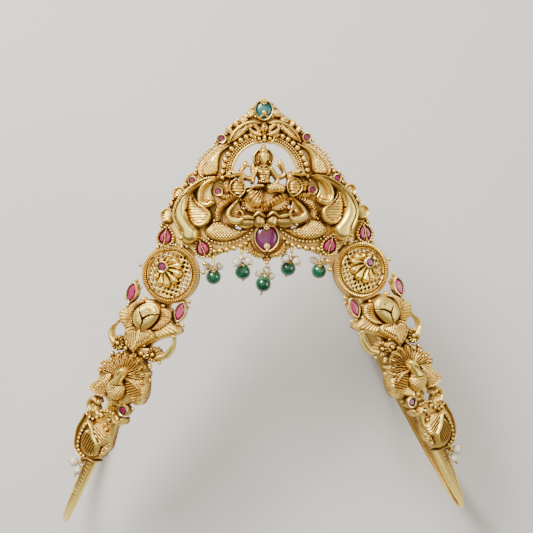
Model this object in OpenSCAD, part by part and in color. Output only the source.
// Upper-arm jewel: a closed chevron ring whose front carries a pierced, figured panel
// and two arms of cast motifs. The ring lies on its rear strip with the front face up.

/* [Ring] */
// Half of the ring's width, from the centre line to the outside of a tip
ring_half_w = 50; // [47:1:53]
// Half of the ring's depth, from the middle to the outer face of the front strip
ring_half_d = 27.6; // [26:0.2:29]
// Height above the ring's middle at which the two straight arms would meet
peak_y = 39.2; // [38.8:0.1:39.6]
// Fall of an arm for each millimetre away from the centre line
arm_slope = 2; // [1.96:0.01:2.04]
// Wall of the strip
strip_t = 1.2; // [1:0.1:1.4]
// Width of the strip along the arms
strip_w = 3.4; // [3:0.1:3.6]
// Width of the strip at the tips and behind the arch
strip_narrow_w = 2; // [1.8:0.1:2.2]

/* [Panel] */
// Middle of the arch above the ring's middle
arch_y = 20.9; // [20.7:0.1:21.1]
// Inner radius of the arch
arch_r = 7.2; // [7:0.1:7.3]
// Thickness of the pierced back plate
plate_t = 0.8; // [0.7:0.1:0.9]

/* [Stones] */
// Radius of the net discs
disc_r = 6.7; // [6.5:0.1:6.8]
// Radius of the big round drop beads
bead_r = 1.8; // [1.7:0.05:1.8]
// Radius of the small pearls
pearl_r = 0.95; // [0.9:0.01:0.96]
// Clearance between pieces that lie on each other
gap = 0.12; // [0.1:0.01:0.14]

/* [Rest] */
// Angle by which the peak is raised when the ring lies on its rear strip
rest_pitch = 9.5; // [9:0.1:10.5]

/* [Hidden] */

GOLD = [0.80, 0.60, 0.27];
RUBY = [0.62, 0.10, 0.28];
EMERALD = [0.05, 0.38, 0.32];
PEARL = [0.92, 0.88, 0.78];

plate_h = gap + plate_t;
seat_h = plate_h + gap;
ROUND = 32;
RIM = 24;
FINE = 12;
LOW = 6;

// Places on the right half, as [distance from the centre line, height]
disc_at = [21.7, -1.3];
lotus_at = [27.6, -11.7];
bar_at = [30.6, -18.4];
peacock_at = [34.0, -26.0];
paisley_at = [39.6, -37.6];
ruby_upper_at = [9.5, 29.1];
ruby_side_at = [16.2, 19.8];
ruby_stem_at = [10.5, 17.2];
ruby_end_at = [32.6, -32.4];
tear_inner_at = [14.2, 4.5];
tear_outer_at = [22.4, 7.4];
marquise_inner_at = [19.5, -9.9];
marquise_outer_at = [30.2, -5.3];

// Outer face of the ring over a point of the plan, and the lean of its normal
function face_z(x) = ring_half_d * sqrt(1 - pow(x / ring_half_w, 2));
function face_lean(x) = atan(ring_half_d * x / (ring_half_w * sqrt(pow(ring_half_w, 2) - x * x)));
function on_face(x, y, h) = [x + h * sin(face_lean(x)), y, face_z(x) + h * cos(face_lean(x))];

// Arm line with a peak rounded over the half width r
function arm_y(x, r) =
    abs(x) > r ? peak_y - arm_slope * abs(x)
    : peak_y - arm_slope * r / 2 - arm_slope * x * x / (2 * r);

module on_side(side) {
    if (side < 0) mirror([1, 0, 0]) children();
    else children();
}
module seat(at, h = 0) {
    translate([at.x, at.y, face_z(at.x)]) rotate([0, face_lean(at.x), 0])
        translate([0, 0, h]) children();
}
module blob(size) {
    scale(size / 2) sphere(1, $fn = LOW);
}
// A round-topped boss one millimetre high and one in radius
module dome() {
    rotate_extrude($fn = 10) polygon([[0, 0], [1, 0], [1, 0.35], [0.85, 0.7], [0.5, 0.93], [0, 1]]);
}
// A chain of rounded lumps: rows of [x, y, height of the top, width]
module swell(rows, base = 0) {
    for (i = [0 : len(rows) - 2]) hull()
        for (row = [rows[i], rows[i + 1]])
            translate([row[0], row[1], base]) cylinder(row[2], row[3] / 2, row[3] * 0.25, $fn = LOW);
}
// A raised leaf: a low upright edge, then sides that slope in towards its own middle
module leaf(outline, edge_h, top_h, top_size = 0.35) {
    linear_extrude(edge_h) polygon(outline);
    translate([0, 0, edge_h]) linear_extrude(top_h - edge_h, scale = top_size) polygon(outline);
}
// Draws its children on the curved middle of the front face
module on_panel(x, y, h = 0) {
    translate(on_face(x, y, h)) rotate([0, face_lean(x), 0]) children();
}
module rod(from, to, r, sides = 5) {
    d = to - from;
    translate(from) rotate([0, atan2(norm([d.x, d.y]), d.z), atan2(d.y, d.x)])
        rotate([0, 0, 30]) cylinder(norm(d), r, r, $fn = sides);
}
module wire_ring(ring_r, wire_r) {
    rotate_extrude($fn = 10) translate([ring_r, 0]) circle(wire_r, $fn = 5);
}

// The ring's strip: flat outside, a shallow channel with raised rims inside
strip_steps = 60;
front_round = 5;
rear_slope = 2.2;
rear_bend = [8, 24];
channel_d = 0.4;
channel_rim = 0.55;
function ramp(v, from, to) = min(1, max(0, (v - from) / (to - from)));
function strip_width(a) =
    let (x = abs(ring_half_w * sin(a)))
    let (near_tip = 1 - ramp(x, ring_half_w - 12, ring_half_w))
    let (past_arch = cos(a) > 0 ? ramp(x, 10, 18) : 1)
    strip_narrow_w + (strip_w - strip_narrow_w) * min(near_tip, past_arch);
// The rear runs level behind the panel and bends into a straight fall to each tip
function rear_run(x) =
    let (u = abs(x), from = rear_bend[0], to = rear_bend[1])
    u < from ? 0 : u < to ? pow(u - from, 2) / (2 * (to - from)) : u - (from + to) / 2;
function rear_y(x) =
    arm_y(ring_half_w, front_round) + rear_slope * (rear_run(ring_half_w) - rear_run(x));
function strip_mid(a) =
    let (x = ring_half_w * sin(a))
    [x, cos(a) > 0 ? arm_y(x, front_round) : rear_y(x), ring_half_d * cos(a)];
function strip_normal(a) =
    let (n = [sin(a) / ring_half_w, 0, cos(a) / ring_half_d])
    n / norm(n);
function strip_side(a) =
    let (t = strip_mid(a + 0.5) - strip_mid(a - 0.5))
    let (s = cross(strip_normal(a), t))
    s / norm(s);
function strip_profile(w) =
    let (o = w / 2, i = w / 2 - channel_rim)
    [[-o, 0], [o, 0], [o, -strip_t], [i, -strip_t], [i, channel_d - strip_t],
     [-i, channel_d - strip_t], [-i, -strip_t], [-o, -strip_t]];
strip_points = [
    for (k = [0 : strip_steps - 1])
        let (a = 360 * k / strip_steps)
        for (p = strip_profile(strip_width(a)))
            strip_mid(a) + p[0] * strip_side(a) + p[1] * strip_normal(a)
];
module strip() {
    sides = 8;
    faces = [
        for (k = [0 : strip_steps - 1])
            for (j = [0 : sides - 1])
                let (k2 = (k + 1) % strip_steps, j2 = (j + 1) % sides)
                for (tri = [[k * sides + j, k * sides + j2, k2 * sides + j2],
                            [k * sides + j, k2 * sides + j2, k2 * sides + j]]) tri
    ];
    polyhedron(strip_points, faces);
}
module band() {
    color(GOLD) laid() strip();
}

// The ring tips back on its rear strip until its weight is over the strip's two lowest
// places. The middle of the outline comes to the origin, at the height of the surface
panel_peak_y = 38;
function tipped_y(p) = p.y * cos(rest_pitch) - p.z * sin(rest_pitch);
function tipped_z(p) = p.y * sin(rest_pitch) + p.z * cos(rest_pitch);
rest_z = -min([for (p = strip_points) tipped_z(p)]);
rest_y = -(min([for (p = strip_points) tipped_y(p)]) + tipped_y([0, panel_peak_y, ring_half_d + gap])) / 2;
module laid() {
    translate([0, rest_y, rest_z]) rotate([rest_pitch, 0, 0]) children();
}

// Settings and stones. A stone's girdle has as many corners as its outline
function pear(w, h, n = 10) = [
    for (k = [0 : n - 1])
        let (a = 360 * k / n, c = cos(a), s = sin(a))
        [w / 2 * c * (1 - 0.28 * max(0, -s)), h / 2 * (s < 0 ? -pow(-s, 0.8) : s)]
];
function almond(w, h, n = 8) = [
    for (k = [0 : n - 1])
        let (a = 360 * k / n, s = sin(a))
        [w / 2 * cos(a) * pow(abs(cos(a)), 0.6), h / 2 * s]
];
function round_cut(r, n = 8) = [for (k = [0 : n - 1]) r * [cos(360 * k / n), sin(360 * k / n)]];
stone_sink = 0.45;
stone_rise = 1.4;
// Rows of [height, size of the outline]: back, girdle and table
cut_rows = [[gap, 0.8], [stone_sink, 1], [stone_rise, 0.55]];
module cut_stone(outline) {
    n = len(outline);
    points = [for (row = cut_rows) for (p = outline) [p.x * row[1], p.y * row[1], row[0]]];
    sides = [
        for (r = [0, 1])
            for (k = [0 : n - 1])
                let (k2 = (k + 1) % n)
                for (tri = [[r * n + k, (r + 1) * n + k, (r + 1) * n + k2], [r * n + k, (r + 1) * n + k2, r * n + k2]]) tri
    ];
    color(RUBY) polyhedron(points, concat([[for (k = [0 : n - 1]) k]], sides, [[for (k = [n - 1 : -1 : 0]) 2 * n + k]]));
}
// A wall round a stone, with its floor
module bezel(outline, wall = 0.35, h = 1, floor_t = 0) {
    difference() {
        translate([0, 0, -floor_t]) linear_extrude(h + floor_t) offset(delta = wall + gap) polygon(outline);
        linear_extrude(h + 1) offset(delta = gap) polygon(outline);
    }
}
emerald_outline = pear(3.4, 3.9);
ruby_outline = pear(4.8, 5.6);
small_outline = round_cut(0.62);
disc_ruby_outline = round_cut(0.8);
marquise_outline = almond(1.7, 3.9);
sliver_a = [for (p = almond(0.95, 2.2, 6)) p + [-0.71, -0.1]];
sliver_b = [for (p = almond(0.95, 2.2, 6)) p + [0.71, 0.1]];
tear_turn = 28;
marquise_turn = 20;
stone_h = plate_h;
emerald_y = 35.4;
ruby_y = 6.5;

module emerald_top() {
    laid() on_panel(0, emerald_y, stone_h) color(EMERALD) cut_stone(emerald_outline);
}
module ruby_centre() {
    laid() on_panel(0, ruby_y, stone_h) cut_stone(ruby_outline);
}
module panel_ruby(side, at) {
    laid() on_side(side) on_panel(at.x, at.y, stone_h) cut_stone(small_outline);
}
module tear_pair(side, at) {
    laid() on_side(side) on_panel(at.x, at.y, stone_h) rotate(tear_turn) {
        cut_stone(sliver_a);
        cut_stone(sliver_b);
    }
}

// The pierced panel: back plate, arch, crest, leaves and the settings of its stones
panel_outline = [
    [0, panel_peak_y], [2.2, 37.2], [4.2, 34.8], [6.8, 33], [8.6, 31], [10.4, 29.6], [10.6, 28],
    [13.4, 25.4], [15.4, 22.4], [17.6, 20.6], [19.2, 18.4], [21.2, 16.8], [21.6, 14.2],
    [23.2, 12.6], [23.4, 9.4], [24.2, 8], [24.0, 5.9], [20.2, 5.9], [17.6, 4.6], [16.2, 3.6],
    [15, 2.2], [12.6, 2.2], [9.4, 3.6], [6.0, 4.6], [4.4, 3.4], [2.6, 2], [0, 1.6]
];
function mirrored(outline) = [for (k = [len(outline) - 2 : -1 : 1]) [-outline[k].x, outline[k].y]];
arch_foot_y = 13.2;
relief_h = 0.37;
blob_h = 1.17;
panel_low_z = 22;
panel_top_z = 31;
curve_r = ring_half_w * ring_half_w / ring_half_d;
module curved_slab(low, high) {
    translate([0, 0, ring_half_d - curve_r]) rotate([-90, 0, 0]) translate([0, 0, -10]) difference() {
        rotate(1.5) cylinder(60, curve_r + high, curve_r + high, $fn = 120);
        translate([0, 0, -1]) rotate(1.5) cylinder(62, curve_r + low, curve_r + low, $fn = 120);
    }
}
module back_plate() {
    intersection() {
        curved_slab(gap, plate_h);
        translate([0, 0, panel_low_z]) linear_extrude(panel_top_z - panel_low_z) difference() {
            polygon(concat(panel_outline, mirrored(panel_outline)));
            difference() {
                translate([0, arch_y]) circle(arch_r, $fn = ROUND);
                translate([-arch_r, 0]) square([2 * arch_r, arch_foot_y]);
            }
            for (s = [-1, 1]) {
                translate([s * 8.8, 11.2]) circle(0.8, $fn = 8);
                translate([s * 6.3, 8.6]) circle(0.7, $fn = 8);
                translate([s * 18.4, 5.9]) circle(0.45, $fn = 8);
            }
        }
    }
}
arch_w = 1.7;
arch_from = 12;
bud_count = 17;
module arch() {
    translate([0, arch_y, ring_half_d + gap + 0.15]) {
        rotate(arch_from) rotate_extrude(angle = 180 - 2 * arch_from, $fn = ROUND)
            translate([arch_r + 0.05, 0]) polygon([[0, 0], [arch_w, 0], [arch_w, 1.2], [0.8, 1.8], [0, 1.8]]);
        for (k = [0 : bud_count - 1])
            rotate(arch_from + (180 - 2 * arch_from) * (k + 0.5) / bud_count)
                translate([arch_r + arch_w + 0.55, 0, 0.8]) blob([1.5, 1.2, 1.6]);
    }
}
// Rows of balls as [x, y, radius]
edge_balls = [
    [2.7, 36, 0.45], [4.4, 34.1, 0.5], [13.9, 19.1 + 2.6, 0.45], [15.2, 21.3, 0.42],
    [17.5, 20.4, 0.4], [18, 18.9, 0.42], [20.9, 14.6, 0.6], [23.1, 9.4, 0.5]
];
low_balls = [
    [10.6, 3.3, 0.7], [9.0, 3.6, 0.65], [7.4, 3.9, 0.65], [5.8, 4.5, 0.6], [4.5, 5.1, 0.5], [12.4, 3.1, 0.5]
];
module ball_on(row, h = 0.9) {
    on_panel(row[0], row[1], h) blob([2, 2, 2] * row[2] * 1.08);
}
module panel_half() {
    on_panel(5.0, 31.2, relief_h) leaf(
        [[-3.6, 1.3], [0, 1.9], [1.8, 0.4], [2.9, -2.4], [1.3, -2.4], [-1.2, -0.4]], 1, 2.1);
    on_panel(12, 23.4, relief_h) leaf(
        [[-4.3, 3.7], [-2.6, 0.2], [-1.8, -2.2], [0.2, -3], [2, -2], [2.6, 0], [1.4, 1.8], [-1.6, 3.4]], 1, 2.2);
    on_panel(9, 7.2, relief_h) leaf(
        [[-5, 1.3], [-1.8, 0.9], [0.2, 1.7], [1.8, 2.8], [3.8, 2.1], [4.6, 0.2], [3.2, -1.5], [0.6, -2.3], [-2, -1.5]], 1, 2);
    on_panel(5.8, 33.2, blob_h) blob([2.2, 1.9, 2.2]);
    on_panel(7.6, 31.7, blob_h) blob([1.9, 1.7, 2.2]);
    on_panel(20.1, 17.1, blob_h) blob([2.2, 2.2, 1.8]);
    on_panel(22, 11.7, blob_h) blob([2.6, 3, 2]);
    for (row = [[2.5, 35.3, 1.1], [3.2, 34.2, 1.3], [4.2, 33.1, 1.1]])
        on_panel(row[0], row[1], blob_h) blob([1.1, 1.6, 2] * row[2]);
    for (row = edge_balls) ball_on(row);
    for (row = low_balls) ball_on(row, 1);
    for (at = [ruby_upper_at, ruby_side_at, ruby_stem_at])
        on_panel(at.x, at.y, stone_h) bezel(small_outline, 0.32, 0.8, 0.2);
    for (at = [tear_inner_at, tear_outer_at]) on_panel(at.x, at.y, stone_h) rotate(tear_turn) {
        bezel(sliver_a, 0.2, 0.7, 0.3);
        bezel(sliver_b, 0.2, 0.7, 0.3);
    }
}
// Ribbed collar below the centre ruby
collar_y = 6;
collar_r = 3.9;
collar_half = 38;
module collar() {
    rotate(-90 - collar_half) rotate_extrude(angle = 2 * collar_half, $fn = ROUND)
        translate([collar_r, -0.3]) polygon([[-0.5, 0], [0.6, 0], [0.5, 0.9], [0, 1.2], [-0.4, 0.9]]);
}
// Fixed loops that carry the five drops, as [x, y, height over the face]
drop_loops = [[-12, 0.6, 0.9], [-5.6, 2.2, 0.9], [0.1, 0.05, 0.9], [5.7, 2.5, 0.9], [12.3, 1.2, 0.9]];
loop_r = 0.6;
loop_wire = 0.18;
module drop_loop(p) {
    on_panel(p.x, p.y, p.z) rotate([0, 90, 0]) wire_ring(loop_r, loop_wire);
    rod(on_face(p.x, p.y + 0.55, p.z), on_face(p.x, p.y + 2.2, p.z - 0.3), 0.42);
}
module centre_panel() {
    color(GOLD) laid() union() {
        back_plate();
        arch();
        for (s = [-1, 1]) on_side(s) panel_half();
        on_panel(0, emerald_y, stone_h) bezel(emerald_outline, 0.35, 1, 0.3);
        on_panel(0, ruby_y, stone_h) bezel(ruby_outline, 0.35, 1, 0.3);
        on_panel(0, 30.7, relief_h) leaf(
            [[-3, -0.2], [-1.6, 1.6], [0, 2.2], [1.6, 1.6], [3, -0.2], [1.6, -1.4], [0, -2], [-1.6, -1.4]], 1.5, 2.5);
        translate([0, collar_y, face_z(2) + plate_h]) collar();
        for (p = drop_loops) drop_loop(p);
    }
}

// Seated figure with four arms, a tall crown and a halo
deity_x = -0.35;
function deity_point(x, y, h) = [deity_x + x, y, ring_half_d + h];
module limb(points, r) {
    for (i = [0 : len(points) - 2]) hull() {
        translate(points[i]) blob([2, 2, 2] * r);
        translate(points[i + 1]) blob([1.8, 1.8, 1.8] * r);
    }
}
module deity() {
    color(GOLD) laid() {
        translate(deity_point(0, 24.3, 4)) blob([1.9, 2.5, 2]);
        translate(deity_point(0, 25.1, 3.6)) rotate([-90, 0, 0]) cylinder(2.3, 0.85, 0.2, $fn = 8);
        translate(deity_point(0, 24.4, 2.3)) cylinder(0.7, 2.35, 2.15, $fn = FINE);
        hull() {
            translate(deity_point(-1.2, 22, 3)) blob([1.3, 1.3, 1.8]);
            translate(deity_point(1.2, 22, 3)) blob([1.3, 1.3, 1.8]);
            translate(deity_point(0, 19.3, 3)) blob([2, 1.4, 2.2]);
        }
        limb([deity_point(0, 23.4, 3.4), deity_point(0, 22.2, 3.2)], 0.5);
        limb([deity_point(-1.4, 22, 3), deity_point(-2.4, 19.6, 3.4), deity_point(-2.5, 21.9, 3.8)], 0.5);
        limb([deity_point(-1.4, 21.6, 2.6), deity_point(-3.7, 19.9, 2.6), deity_point(-4.9, 21.5, 2.6), deity_point(-4.1, 22.7, 2.6)], 0.4);
        limb([deity_point(1.4, 22, 3), deity_point(3.5, 20.2, 3.2), deity_point(4.0, 19.4, 3.4)], 0.5);
        limb([deity_point(1.4, 21.6, 2.6), deity_point(4.4, 20.3, 2.6), deity_point(4.6, 21.9, 2.6), deity_point(3.4, 23.2, 2.6)], 0.4);
        translate(deity_point(2.9, 17.8, 3)) blob([3.9, 2.6, 3]);
        hull() {
            translate(deity_point(0, 18.3, 2.7)) blob([2.4, 1.4, 2.4]);
            translate(deity_point(-3.6, 15.9, 2.4)) blob([1.8, 1.8, 2]);
            translate(deity_point(-1, 14.2, 2.4)) blob([1.8, 1.4, 2]);
        }
        hull() {
            translate(deity_point(1.1, 14.6, 2.6)) blob([1.6, 1.8, 2.4]);
            translate(deity_point(3.8, 15.8, 2.6)) blob([2.4, 2.4, 2.4]);
        }
        hull() {
            translate(deity_point(-3, 14.6, plate_h + gap)) cube([7.2, 1.6, 0.5]);
            translate(deity_point(-1.8, 16.4, 2)) cube([4.8, 1.6, 0.6]);
        }
    }
}

// Lotus pedestal under the figure, with two curled outer petals
seat_petals = [[-4.2, 0.2], [-2.5, 0.7], [-0.8, 0.9], [0.9, 0.9], [2.6, 0.7], [4.3, 0.2]];
module lotus_seat() {
    color(GOLD) laid() {
        hull() {
            on_panel(-4.4, 11.5, seat_h + gap) cylinder(1.1, 1.1, 1, $fn = 8);
            on_panel(4.4, 11.5, seat_h + gap) cylinder(1.1, 1.1, 1, $fn = 8);
            on_panel(0, 11.2, seat_h) cylinder(1.2, 1, 0.9, $fn = 8);
        }
        for (p = seat_petals) hull() {
            on_panel(p[0], 11.1 - p[1] / 3, seat_h) cylinder(1.4, 0.7, 0.9, $fn = LOW);
            on_panel(p[0], 11.9, seat_h + 0.8) cylinder(2.1, 0.8, 0.5, $fn = LOW);
        }
        for (s = [-1, 1]) on_side(s) {
            on_panel(6.2, 12.1, seat_h) swell([
                [-1.4, -1.1, 1.8, 1.2], [0, -1.7, 2.4, 1.6], [1.7, -1, 2.4, 1.5], [2.1, 0.6, 2.2, 1.2],
                [1.3, 2, 2, 0.9], [-0.2, 3, 1.8, 0.7]]);
            on_panel(6.2, 12.1, seat_h) swell([[0, -1.7, 2.2, 1.4], [0.5, -0.2, 2.2, 1.1], [-0.5, 0.1, 2.1, 0.8]]);
        }
    }
}

// A small bird beside the figure, with a ribbed round wing and a curved tail
module bird(side) {
    color(GOLD) laid() on_side(side) {
        on_panel(6.7, 18.1, seat_h + 1.3) blob([3.1, 3.8, 2.5]);
        on_panel(6.7, 18.1, seat_h) cylinder(1.4, 0.8, 1, $fn = LOW);
        hull() {
            on_panel(6.9, 19.4, seat_h + 1.5) blob([1.7, 1.6, 1.8]);
            on_panel(7.4, 20.8, seat_h + 1.7) blob([1.5, 1.3, 1.4]);
        }
        hull() {
            on_panel(7.4, 20.8, seat_h + 1.7) blob([1.2, 1, 1]);
            on_panel(9.0, 20.4, seat_h + 1.7) blob([0.5, 0.4, 0.4]);
        }
        on_panel(8.2, 15.6, seat_h) swell([[-1.2, 1.2, 1.8, 1.2], [0.6, 0.2, 1.6, 1.3], [1.5, -1.2, 1.5, 1.2], [1.8, -2.6, 1.4, 0.9]]);
    }
}

// The polished crescent scroll, its curled cup and its hatched oval
crescent = [
    [-7.6, 8.2, 1.0, 0.8], [-5.2, 7.8, 1.2, 1.1], [-2.6, 6.3, 1.5, 1.6], [-0.5, 4.7, 1.8, 2.1], [0.6, 2.6, 2, 2.5],
    [1.0, 0.2, 2.1, 3.0], [0.4, -1.8, 2.1, 3.2], [-0.7, -3.8, 2.1, 3.4], [-1.2, -4.6, 1.6, 2.6]
];
cup = [[-7, 7.8, 1.1, 0.9], [-4.2, 6.4, 1.8, 1.1], [-3.1, 4.6, 2.2, 1.1], [-4.4, 2.9, 2.2, 1.2], [-5.8, 3.3, 2.2, 1.3], [-5.4, 4.5, 1.8, 0.9]];
scroll_at = [18.2, 11.3];
module scroll(side) {
    color(GOLD) laid() on_side(side) seat([scroll_at.x, scroll_at.y], seat_h + 0.12) {
        swell(crescent);
        swell(cup);
        translate([-3.3, 0.3, 0]) scale([1, 1.06, 1]) cylinder(1.3, 2.4, 2.2, $fn = FINE);
        translate([-3.3, 0.3, 1]) blob([3.8, 3.9, 2]);
        translate([0.9, -4.3, 0.8]) blob([1.6, 1.6, 1.6]);
    }
}

// Pierced disc: ribbed rim, square net, off-centre rosette and a ruby setting
net_pitch = 1.45;
net_hole = 0.9;
net_t = 0.5;
net_z = 0.5;
rim_w = 1;
rosette_at = [1.5, 1.7];
rosette_clear = 2.6;
petal_count = 9;
function petal_reach(a) = 2.7 - 0.9 * cos(a - 48);
module net_hole_grid() {
    reach = disc_r - rim_w - 0.55;
    rotate(45) for (i = [-5 : 5]) for (j = [-5 : 5])
        if (norm([i, j] * net_pitch) < reach
            && norm([i, j] * net_pitch - [rosette_at.x + rosette_at.y, rosette_at.y - rosette_at.x] / sqrt(2)) > rosette_clear)
            translate([i, j] * net_pitch) square(net_hole, center = true);
}
module setting_ball(p, r, base) {
    translate([p.x, p.y, base]) cylinder(1.7 * r, r, r * 0.5, $fn = LOW);
}
module net_disc(side) {
    color(GOLD) laid() on_side(side) seat(disc_at, gap) {
        difference() {
            cylinder(1.9, disc_r, disc_r - 0.25, $fn = RIM);
            translate([0, 0, net_z + net_t]) cylinder(3, disc_r - rim_w, disc_r - rim_w, $fn = RIM);
            translate([0, 0, -1]) cylinder(1 + net_z, disc_r - rim_w, disc_r - rim_w, $fn = RIM);
            translate([0, 0, -1]) linear_extrude(4) net_hole_grid();
        }
        translate([rosette_at.x, rosette_at.y, net_z + net_t - 0.2]) {
            for (k = [0 : petal_count - 1])
                let (reach = petal_reach(360 * k / petal_count))
                    rotate(360 * k / petal_count) translate([reach * 0.65, 0, 0]) leaf(
                        [[0.8 - reach * 0.65, -0.25], [reach * 0.2, -0.6], [reach * 0.35 + 0.4, -0.1],
                         [reach * 0.35 + 0.4, 0.55], [reach * 0.25, 0.9], [0.9 - reach * 0.65, 0.3]], 0.6, 1.3, 0.4);
            bezel(disc_ruby_outline, 0.4, 1.5, 0);
            cylinder(0.6, 1.2, 1.2, $fn = 8);
        }
    }
}
ruby_disc_h = gap + net_z + net_t + 0.5;
module ruby_disc(side) {
    laid() on_side(side) seat(disc_at, ruby_disc_h) translate([rosette_at.x, rosette_at.y, 0])
        cut_stone(disc_ruby_outline);
}

// Lotus flower head: a bud in the middle of a ring of raised petals
lotus_petals = [
    // across, along, turn, length, width
    [4.3, 1.2, 10, 3.2, 3], [2, 2.9, 60, 3, 2.8], [-4.2, 2.6, 160, 3, 3], [-5.4, -0.6, 195, 3, 2.8],
    [-3.6, -2.8, 235, 3, 2.8], [3.4, -2.2, -40, 3, 2.8]
];
marquise_seat = 0.9;
module lotus(side) {
    color(GOLD) laid() on_side(side) {
        seat(lotus_at, gap) {
            linear_extrude(1) polygon([[4.8, 3], [1, 4.2], [-4.2, 3.4], [-6.8, 0], [-5.2, -3.4], [-0.8, -4.6], [3, -4.4], [5, -0.4]]);
            for (p = lotus_petals) translate([p[0], p[1], 0]) rotate(p[2]) hull() {
                translate([-p[3] * 0.6, 0, 0]) cylinder(2.6, p[4] / 2.4, p[4] / 3, $fn = LOW);
                translate([p[3] * 0.35, 0, 0.4]) cylinder(1.9, 0.5, 0.3, $fn = LOW);
            }
            hull() {
                translate([1.4, -1.8, 0.4]) cylinder(3.2, 2, 1.5, $fn = LOW);
                translate([1.4, -5, 0.2]) cylinder(2.2, 0.5, 0.3, $fn = LOW);
            }
            translate([-0.6, 1, 0]) scale([2.9, 2.7, 5]) dome();
            setting_ball([-0.6, 4.3], 0.5, 0);
            setting_ball([-6.2, 2], 0.4, 0);
        }
        for (at = [marquise_inner_at, marquise_outer_at]) seat(at, gap) rotate(marquise_turn) {
            linear_extrude(marquise_seat) offset(delta = 0.45) polygon(marquise_outline);
            translate([0, 0, marquise_seat]) bezel(marquise_outline, 0.4, 0.9, 0.3);
        }
        hull() {
            seat(marquise_outer_at, gap) translate([-0.4, -1.2, 0]) cylinder(0.7, 0.9, 0.9, $fn = LOW);
            seat(lotus_at, gap) translate([1.6, 3.6, 0]) cylinder(0.7, 0.9, 0.9, $fn = LOW);
        }
        hull() {
            seat(marquise_inner_at, gap) translate([0.4, -0.8, 0]) cylinder(0.7, 0.9, 0.9, $fn = LOW);
            seat(lotus_at, gap) translate([-5.6, 1, 0]) cylinder(0.7, 0.9, 0.9, $fn = LOW);
        }
    }
}
module marquise(side, at) {
    laid() on_side(side) seat(at, gap + marquise_seat) rotate(marquise_turn) cut_stone(marquise_outline);
}

// Bar of small flowers and balls below the lotus, with a horn at each end
module flower_bar(side) {
    color(GOLD) laid() on_side(side) seat(bar_at, gap) {
        hull() {
            translate([3.6, 1.4, 0]) cylinder(0.8, 1, 1, $fn = LOW);
            translate([-4.8, -1.4, 0]) cylinder(0.8, 1, 1, $fn = LOW);
        }
        for (p = [[3.8, 1.6, 1.5], [-5, -1.2, 1.5]]) translate([p[0], p[1], 0]) {
            cylinder(1.5, p[2], p[2] * 0.85, $fn = 10);
            translate([0, 0, 1.4]) blob([1, 1, 1.2]);
        }
        for (x = [-2.6 : 1.5 : 2]) setting_ball([x, 0.25 * x - 0.1], 0.55, 0.3);
        setting_ball([4.6, -0.3], 0.65, 0);
        swell([[4.2, 2, 1.2, 1.2], [5.2, 4.2, 1.4, 1.3], [4.9, 6, 1.2, 0.7]]);
        swell([[-6.0, -0.6, 1.2, 1], [-7.6, 0.8, 1.4, 1.3], [-8.4, 2.6, 1.2, 0.7]]);
    }
}

// Peacock: a fan of plumes behind a round breast, two wings and a bent head
plume_count = 9;
module peacock(side) {
    color(GOLD) laid() on_side(side) seat(peacock_at, gap) {
        linear_extrude(1.2) polygon([[4.6, 1.4], [2.6, 4.2], [-1, 5.4], [-4.8, 4.6], [-6.4, 1.6], [-6.6, -3], [-3, -4.6], [2, -4.4], [5, -1.2]]);
        for (k = [0 : plume_count - 1])
            translate([-1.4, 0.2, 0.6]) rotate(-12 + 200 * k / (plume_count - 1)) hull() {
                translate([1.6, 0, 0]) cylinder(1.1, 0.3, 0.2, $fn = 5);
                translate([4.5, 0, 0]) cylinder(1.7, 0.7, 0.4, $fn = 5);
            }
        translate([-0.6, -1.6, 0]) scale([2.5, 2.7, 4.2]) dome();
        for (s = [-1, 1]) hull() {
            translate([-0.8 + s * 3.4, -0.4, 0.6]) cylinder(2.2, 1.5, 0.8, $fn = LOW);
            translate([-0.6 + s * 4.2, -3, 0.4]) cylinder(1.6, 1.1, 0.6, $fn = LOW);
        }
        limb([[-0.6, 0.4, 3.2], [-1.2, 2, 4.1], [-1.6, 2.9, 4.2]], 0.9);
        limb([[-1.4, 2.9, 4.4], [-0.2, 1, 4.3]], 0.4);
    }
}

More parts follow.
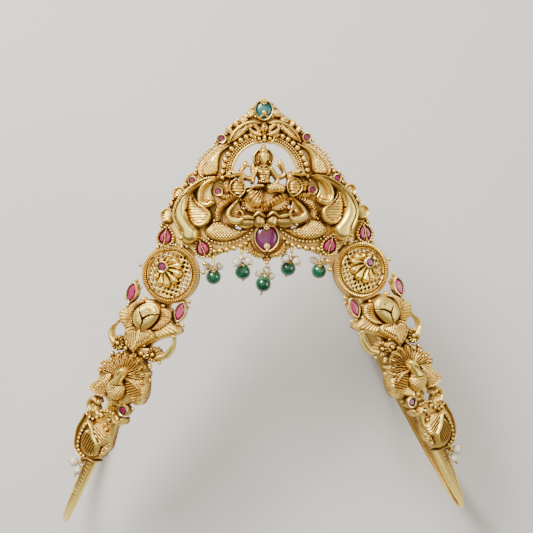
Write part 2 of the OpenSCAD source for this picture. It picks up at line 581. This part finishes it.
// End leaf: a curled paisley with a beaded rim, its hook and the end ruby's setting
end_loop_at = [4.5, -7.2];
end_loop_h = 0.9;
end_floor = 1;
module end_paisley(side) {
    color(GOLD) laid() on_side(side) {
        seat(paisley_at, gap) {
            linear_extrude(1) polygon([[4.4, -1.4], [3.6, 2], [1, 4.2], [-3, 4.8], [-5.6, 4], [-5.8, 1.8], [-4.6, -1], [-3, -3.6], [0, -5.8], [2.6, -5]]);
            hull() {
                translate([0, 1, 0.6]) cylinder(1.7, 3, 1.8, $fn = 8);
                translate([0.2, -3.4, 0.6]) cylinder(1.4, 1.4, 0.7, $fn = 8);
            }
            hull() {
                translate([-3.4, 1.6, 0.6]) cylinder(1.5, 1.6, 0.9, $fn = LOW);
                translate([-2.6, -1.2, 0.6]) cylinder(1.3, 1.1, 0.6, $fn = LOW);
            }
            translate([-4.2, 3, 0]) cylinder(2, 1, 0.8, $fn = 8);
            for (row = [[4.2, -0.6], [4, 0.9], [3.2, 2.4], [2, 3.5], [0.5, 4.2], [-1.1, 4.5], [-2.6, 4.6]])
                setting_ball([row[0], row[1]], 0.45, 0.7);
            swell([[2, 3.4, 1, 1.2], [3, 5.8, 1.4, 1.4], [1.8, 7.2, 1.2, 1.1]]);
            swell([[1.8, -4.4, 1, 1.2], [3.8, -6, 1, 1.1]]);
            rod([3.5, -5.8, 0.3], [end_loop_at.x, end_loop_at.y + 0.3, 0.35], 0.25);
            translate([end_loop_at.x, end_loop_at.y, end_loop_h]) rotate([0, 90, 0]) wire_ring(loop_r, loop_wire);
        }
        seat(ruby_end_at, gap) {
            cylinder(end_floor, 1.3, 1.3, $fn = 8);
            translate([0, 0, end_floor]) bezel(disc_ruby_outline, 0.45, 0.9, 0.3);
        }
        hull() {
            seat(ruby_end_at, gap) translate([0.2, -0.6, 0]) cylinder(0.8, 0.8, 0.7, $fn = LOW);
            seat(paisley_at, gap) translate([-5, 3.2, 0]) cylinder(0.8, 0.8, 0.7, $fn = LOW);
        }
    }
}
module ruby_end(side) {
    laid() on_side(side) seat(ruby_end_at, gap + end_floor) cut_stone(disc_ruby_outline);
}

// Drops: a ring through its loop carries a green bead and small pearls on pins
ring_r = 0.7;
ring_wire = 0.18;
ring_step = 0.8;
pin_r = 0.17;
bore_r = 0.25;
bead_step = 3.4;
front_lift = 0.5;
back_drop = -1.8;
pearl_step = 1.35;
head_r = 0.3;
// Rows of [hang direction across, dip below the face, pearl angles from the hang direction]
drop_hang = [
    [0, 50, [-62, 58]], [4, 38, [-57, 58, -104, 104]], [-14, 8, [-57, 57]],
    [-14, 42, [-57, 60, -100, 100]], [-4, 54, [-72, 58]]
];
function hang_dir(i) = let (a = drop_hang[i][0], d = drop_hang[i][1]) [sin(a) * cos(d), -cos(a) * cos(d), -sin(d)];
function across_dir(i) = let (a = drop_hang[i][0]) [cos(a), sin(a), 0];
function ring_mid(i) = on_face(drop_loops[i].x, drop_loops[i].y, drop_loops[i].z) + ring_step * hang_dir(i);
function bead_mid(i) = ring_mid(i) + bead_step * hang_dir(i);
// A pearl beside the bead lies over it, and one turned past its ring hangs below
function pearl_dir(i, a) =
    let (flat = cos(a) * hang_dir(i) + sin(a) * across_dir(i))
    let (up = cross(across_dir(i), hang_dir(i)))
    let (v = flat + up * (abs(a) < 90 ? front_lift : back_drop))
    v / norm(v);
function pin_root(i, a) = ring_mid(i) + ring_r * (cos(a) * hang_dir(i) + sin(a) * across_dir(i));
function pearl_mid(i, a) = pin_root(i, a) + pearl_step * pearl_dir(i, a);
module drop_links(i) {
    m = ring_mid(i);
    color(GOLD) laid() {
        translate(m) rotate([0, 0, drop_hang[i][0]]) rotate([drop_hang[i][1], 0, 0]) wire_ring(ring_r, ring_wire);
        rod(m + ring_r * hang_dir(i), m + (bead_step + bead_r + 0.4) * hang_dir(i), pin_r);
        translate(m + (bead_step + bead_r + 0.45) * hang_dir(i)) blob([0.8, 0.8, 0.8]);
        for (a = drop_hang[i][2]) {
            rod(pin_root(i, a), pearl_mid(i, a) + (pearl_r + 0.3) * pearl_dir(i, a), pin_r);
            translate(pearl_mid(i, a) + (pearl_r + 0.4) * pearl_dir(i, a)) blob([2, 2, 2] * head_r);
        }
    }
}
module drilled(at, dir, r) {
    translate(at) rotate([0, atan2(norm([dir.x, dir.y]), dir.z), atan2(dir.y, dir.x)]) difference() {
        sphere(r, $fn = ROUND);
        translate([0, 0, -r - 1]) cylinder(2 * r + 2, bore_r, bore_r, $fn = 16);
    }
}
module drop_bead(i) {
    color(EMERALD) laid() drilled(bead_mid(i), hang_dir(i), bead_r);
}
module drop_pearls(i) {
    color(PEARL) laid() for (a = drop_hang[i][2])
        drilled(pearl_mid(i, a), pearl_dir(i, a), pearl_r);
}
// Two pearls on a ring beside each end leaf, as [turn, radius]
end_pearl_rows = [[14, 1.15], [-56, 0.95]];
function end_ring_mid() = [end_loop_at.x + 0.1, end_loop_at.y - loop_r - 0.18, end_loop_h];
function end_dir(turn) = [cos(turn), sin(turn), 0.12];
function end_step(r) = ring_r + ring_wire + gap + r;
module end_links(side) {
    color(GOLD) laid() on_side(side) seat(paisley_at, gap) {
        translate(end_ring_mid()) wire_ring(ring_r, ring_wire);
        for (row = end_pearl_rows) {
            reach = end_step(row[1]) + row[1] + 0.3;
            rod(end_ring_mid() + ring_r * 0.95 * end_dir(row[0]), end_ring_mid() + reach * end_dir(row[0]), pin_r);
            translate(end_ring_mid() + (reach + 0.1) * end_dir(row[0])) blob([2, 2, 2] * head_r);
        }
    }
}
module end_pearls(side) {
    color(PEARL) laid() on_side(side) seat(paisley_at, gap)
        for (row = end_pearl_rows)
            drilled(end_ring_mid() + end_step(row[1]) * end_dir(row[0]), end_dir(row[0]), row[1]);
}

band();
centre_panel();
deity();
lotus_seat();
bird(-1);  // bird_left
bird(1);  // bird_right
scroll(-1);  // scroll_left
scroll(1);  // scroll_right
net_disc(-1);  // net_disc_left
net_disc(1);  // net_disc_right
lotus(-1);  // lotus_left
lotus(1);  // lotus_right
flower_bar(-1);  // flower_bar_left
flower_bar(1);  // flower_bar_right
peacock(-1);  // peacock_left
peacock(1);  // peacock_right
end_paisley(-1);  // end_paisley_left
end_paisley(1);  // end_paisley_right
emerald_top();
ruby_centre();
panel_ruby(-1, ruby_upper_at);  // ruby_upper_left
panel_ruby(1, ruby_upper_at);  // ruby_upper_right
panel_ruby(-1, ruby_side_at);  // ruby_side_left
panel_ruby(1, ruby_side_at);  // ruby_side_right
panel_ruby(-1, ruby_stem_at);  // ruby_stem_left
panel_ruby(1, ruby_stem_at);  // ruby_stem_right
ruby_disc(-1);  // ruby_disc_left
ruby_disc(1);  // ruby_disc_right
ruby_end(-1);  // ruby_end_left
ruby_end(1);  // ruby_end_right
tear_pair(-1, tear_inner_at);  // tear_inner_left
tear_pair(1, tear_inner_at);  // tear_inner_right
tear_pair(-1, tear_outer_at);  // tear_outer_left
tear_pair(1, tear_outer_at);  // tear_outer_right
marquise(-1, marquise_inner_at);  // marquise_inner_left
marquise(1, marquise_inner_at);  // marquise_inner_right
marquise(-1, marquise_outer_at);  // marquise_outer_left
marquise(1, marquise_outer_at);  // marquise_outer_right
drop_links(0);  // drop_1_links
drop_pearls(0);  // drop_1_pearls
drop_bead(0);  // drop_1_bead
drop_links(1);  // drop_2_links
drop_pearls(1);  // drop_2_pearls
drop_bead(1);  // drop_2_bead
drop_links(2);  // drop_3_links
drop_pearls(2);  // drop_3_pearls
drop_bead(2);  // drop_3_bead
drop_links(3);  // drop_4_links
drop_pearls(3);  // drop_4_pearls
drop_bead(3);  // drop_4_bead
drop_links(4);  // drop_5_links
drop_pearls(4);  // drop_5_pearls
drop_bead(4);  // drop_5_bead
end_links(-1);  // end_links_left
end_links(1);  // end_links_right
end_pearls(-1);  // end_pearls_left
end_pearls(1);  // end_pearls_right
